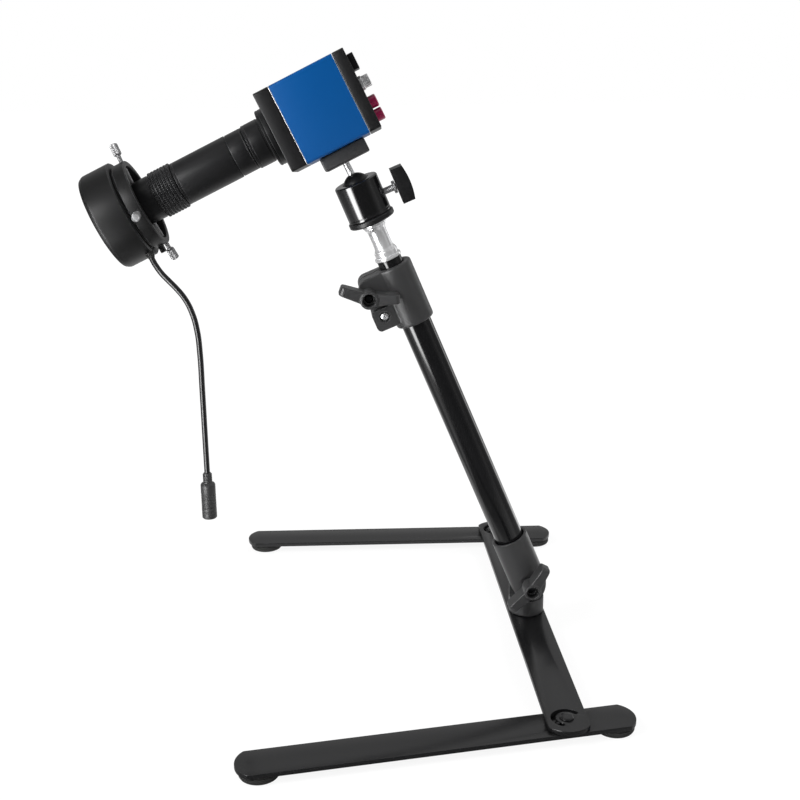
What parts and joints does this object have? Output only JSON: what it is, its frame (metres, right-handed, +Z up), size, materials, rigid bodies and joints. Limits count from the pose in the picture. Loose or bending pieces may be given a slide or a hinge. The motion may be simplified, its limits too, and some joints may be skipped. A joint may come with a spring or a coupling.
{
  "type": "video microscope on folding stand",
  "caption": "Compact video microscope: square camera with zoom lens and ring light on a ball head, carried by a leaning telescopic pole on a folding two-legged flat-bar stand.",
  "frame": {"origin": "on the table, under the middle of the box round the whole object without its free lead", "axes": "+Z up; X across the stand, the lens pointing to -X; Y along the crossbar, the clamp knobs on the -Y side"},
  "size_m": [0.3248, 0.337, 0.3913],
  "materials": {
    "powder_black": "fine powder coat",
    "moulded_black": "moulded, fine grain",
    "tube_black": "satin paint",
    "anodised_black": "black anodised",
    "anodised_blue": "blue anodised",
    "rubber_black": "plain rubber",
    "polished_steel": "polished",
    "plated_steel": "plated",
    "crimson": "smooth",
    "coated_glass": "coated",
    "milky_cover": "milky",
    "board_white": "white board",
    "board_green": "circuit board",
    "cord_black": "soft jacket"
  },
  "bodies": {
    "base": {"crossbar": "powder_black", "near_leg_rivet": "powder_black", "far_leg_rivet": "powder_black", "knuckle_pillar": "moulded_black", "pillar_screw_near": "plated_steel", "pillar_screw_far": "plated_steel", "tilt_bolt": "plated_steel"},
    "near_leg": {"near_leg": "powder_black", "near_leg_stop_pin": "plated_steel", "near_leg_left_foot": "rubber_black", "near_leg_right_foot": "rubber_black"},
    "far_leg": {"far_leg": "powder_black", "far_leg_stop_pin": "plated_steel", "far_leg_left_foot": "rubber_black", "far_leg_right_foot": "rubber_black"},
    "pole": {"tilt_socket": "moulded_black", "outer_tube": "tube_black", "clamp_collar": "moulded_black", "clamp_bolt": "plated_steel", "fixing_screw": "polished_steel", "fixing_nut": "plated_steel"},
    "tilt_knob": {"tilt_knob": "moulded_black"},
    "clamp_knob": {"clamp_knob": "moulded_black"},
    "extension": {"inner_tube": "tube_black", "spigot": "polished_steel"},
    "turret": {"head_base": "anodised_black", "ball_housing": "anodised_black", "ball_cup": "moulded_black"},
    "lock_knob": {"lock_screw": "polished_steel", "lock_knob": "moulded_black"},
    "ball": {"ball": "anodised_black", "ball_stem": "polished_steel"},
    "camera": {"tripod_block": "moulded_black", "front_cover": "anodised_black", "camera_shell": "anodised_blue", "sensor_board": "board_green", "rear_cover": "anodised_black", "signal_socket": "anodised_black", "power_jack": "polished_steel", "mount_ring": "anodised_black", "lens_rear_tube": "anodised_black", "lens_barrel": "anodised_black", "lens_neck": "anodised_black", "front_glass": "coated_glass"},
    "upper_button": {"upper_button": "crimson"},
    "lower_button": {"lower_button": "crimson"},
    "zoom_ring": {"zoom_ring": "anodised_black"},
    "ring_light": {"ring_light_housing": "anodised_black", "clamp_ring": "anodised_black", "led_board": "board_white", "light_cover": "milky_cover", "cord_gland": "rubber_black", "light_cord": "cord_black", "cord_coupler": "moulded_black"},
    "thumb_screw_1": {"thumb_screw_1": "plated_steel"},
    "thumb_screw_2": {"thumb_screw_2": "plated_steel"},
    "thumb_screw_3": {"thumb_screw_3": "plated_steel"}
  },
  "joints": [
    {"name": "near_leg_fold", "type": "hinge", "parent": "base", "child": "near_leg", "pos_m": [0.1195, -0.13192, 0], "axis": [0, 0, 1], "range_deg": [-180, 20]},
    {"name": "far_leg_fold", "type": "hinge", "parent": "base", "child": "far_leg", "pos_m": [0.1195, 0.14608, 0], "axis": [0, 0, 1], "range_deg": [-170, 30]},
    {"name": "pole_tilt", "type": "hinge", "parent": "base", "child": "pole", "pos_m": [0.1195, 0.00708, 0.0365], "axis": [0, 1, 0], "range_deg": [-40, 110]},
    {"name": "tilt_knob_turn", "type": "hinge", "parent": "base", "child": "tilt_knob", "pos_m": [0.1195, -0.00472, 0.0365], "axis": [0, -1, 0], "range_deg": [-180, 180]},
    {"name": "pole_extension", "type": "slide", "parent": "pole", "child": "extension", "axis": [-0.3804, 0, 0.9248], "range_m": [-0.004, 0.13]},
    {"name": "clamp_knob_turn", "type": "hinge", "parent": "pole", "child": "clamp_knob", "pos_m": [0.01258, -0.00322, 0.24068], "axis": [0, -1, 0], "range_deg": [-180, 180]},
    {"name": "head_pan", "type": "hinge", "parent": "extension", "child": "turret", "pos_m": [0.008, 0.00708, 0.30756], "axis": [-0.3804, 0, 0.9248], "range_deg": [-180, 180]},
    {"name": "lock_knob_turn", "type": "hinge", "parent": "turret", "child": "lock_knob", "pos_m": [0.01142, 0.00708, 0.29924], "axis": [0.9248, 0, 0.3804], "range_deg": [-180, 180]},
    {"name": "head_tilt", "type": "hinge", "parent": "turret", "child": "ball", "pos_m": [0.008, 0.00708, 0.30756], "axis": [0, 1, 0], "range_deg": [-42, 32]},
    {"name": "head_swivel", "type": "hinge", "parent": "ball", "child": "camera", "pos_m": [0.008, 0.00708, 0.30756], "axis": [-0.4317, 0.1521, 0.8891], "range_deg": [-180, 180]},
    {"name": "upper_button_press", "type": "slide", "parent": "camera", "child": "upper_button", "axis": [-0.8996, 0, -0.4368], "range_m": [0, 0.001], "stiffness_N_per_m": 400},
    {"name": "lower_button_press", "type": "slide", "parent": "camera", "child": "lower_button", "axis": [-0.8996, 0, -0.4368], "range_m": [0, 0.001], "stiffness_N_per_m": 400},
    {"name": "zoom_turn", "type": "hinge", "parent": "camera", "child": "zoom_ring", "pos_m": [-0.10178, 0.01482, 0.31018], "axis": [-0.8996, 0, -0.4368], "range_deg": [-120, 120]},
    {"name": "light_turn", "type": "hinge", "parent": "camera", "child": "ring_light", "pos_m": [-0.01398, 0.01482, 0.35282], "axis": [-0.8996, 0, -0.4368], "range_deg": [-180, 180]},
    {"name": "thumb_screw_1_turn", "type": "hinge", "parent": "ring_light", "child": "thumb_screw_1", "pos_m": [-0.12562, 0.01482, 0.29861], "axis": [-0.4085, 0.3543, 0.8412], "range_deg": [-180, 180]},
    {"name": "thumb_screw_2_turn", "type": "hinge", "parent": "ring_light", "child": "thumb_screw_2", "pos_m": [-0.12562, 0.01482, 0.29861], "axis": [0.0171, -0.9992, -0.0353], "range_deg": [-180, 180]},
    {"name": "thumb_screw_3_turn", "type": "hinge", "parent": "ring_light", "child": "thumb_screw_3", "pos_m": [-0.12562, 0.01482, 0.29861], "axis": [0.4252, 0.2292, -0.8756], "range_deg": [-180, 180]}
  ]
}
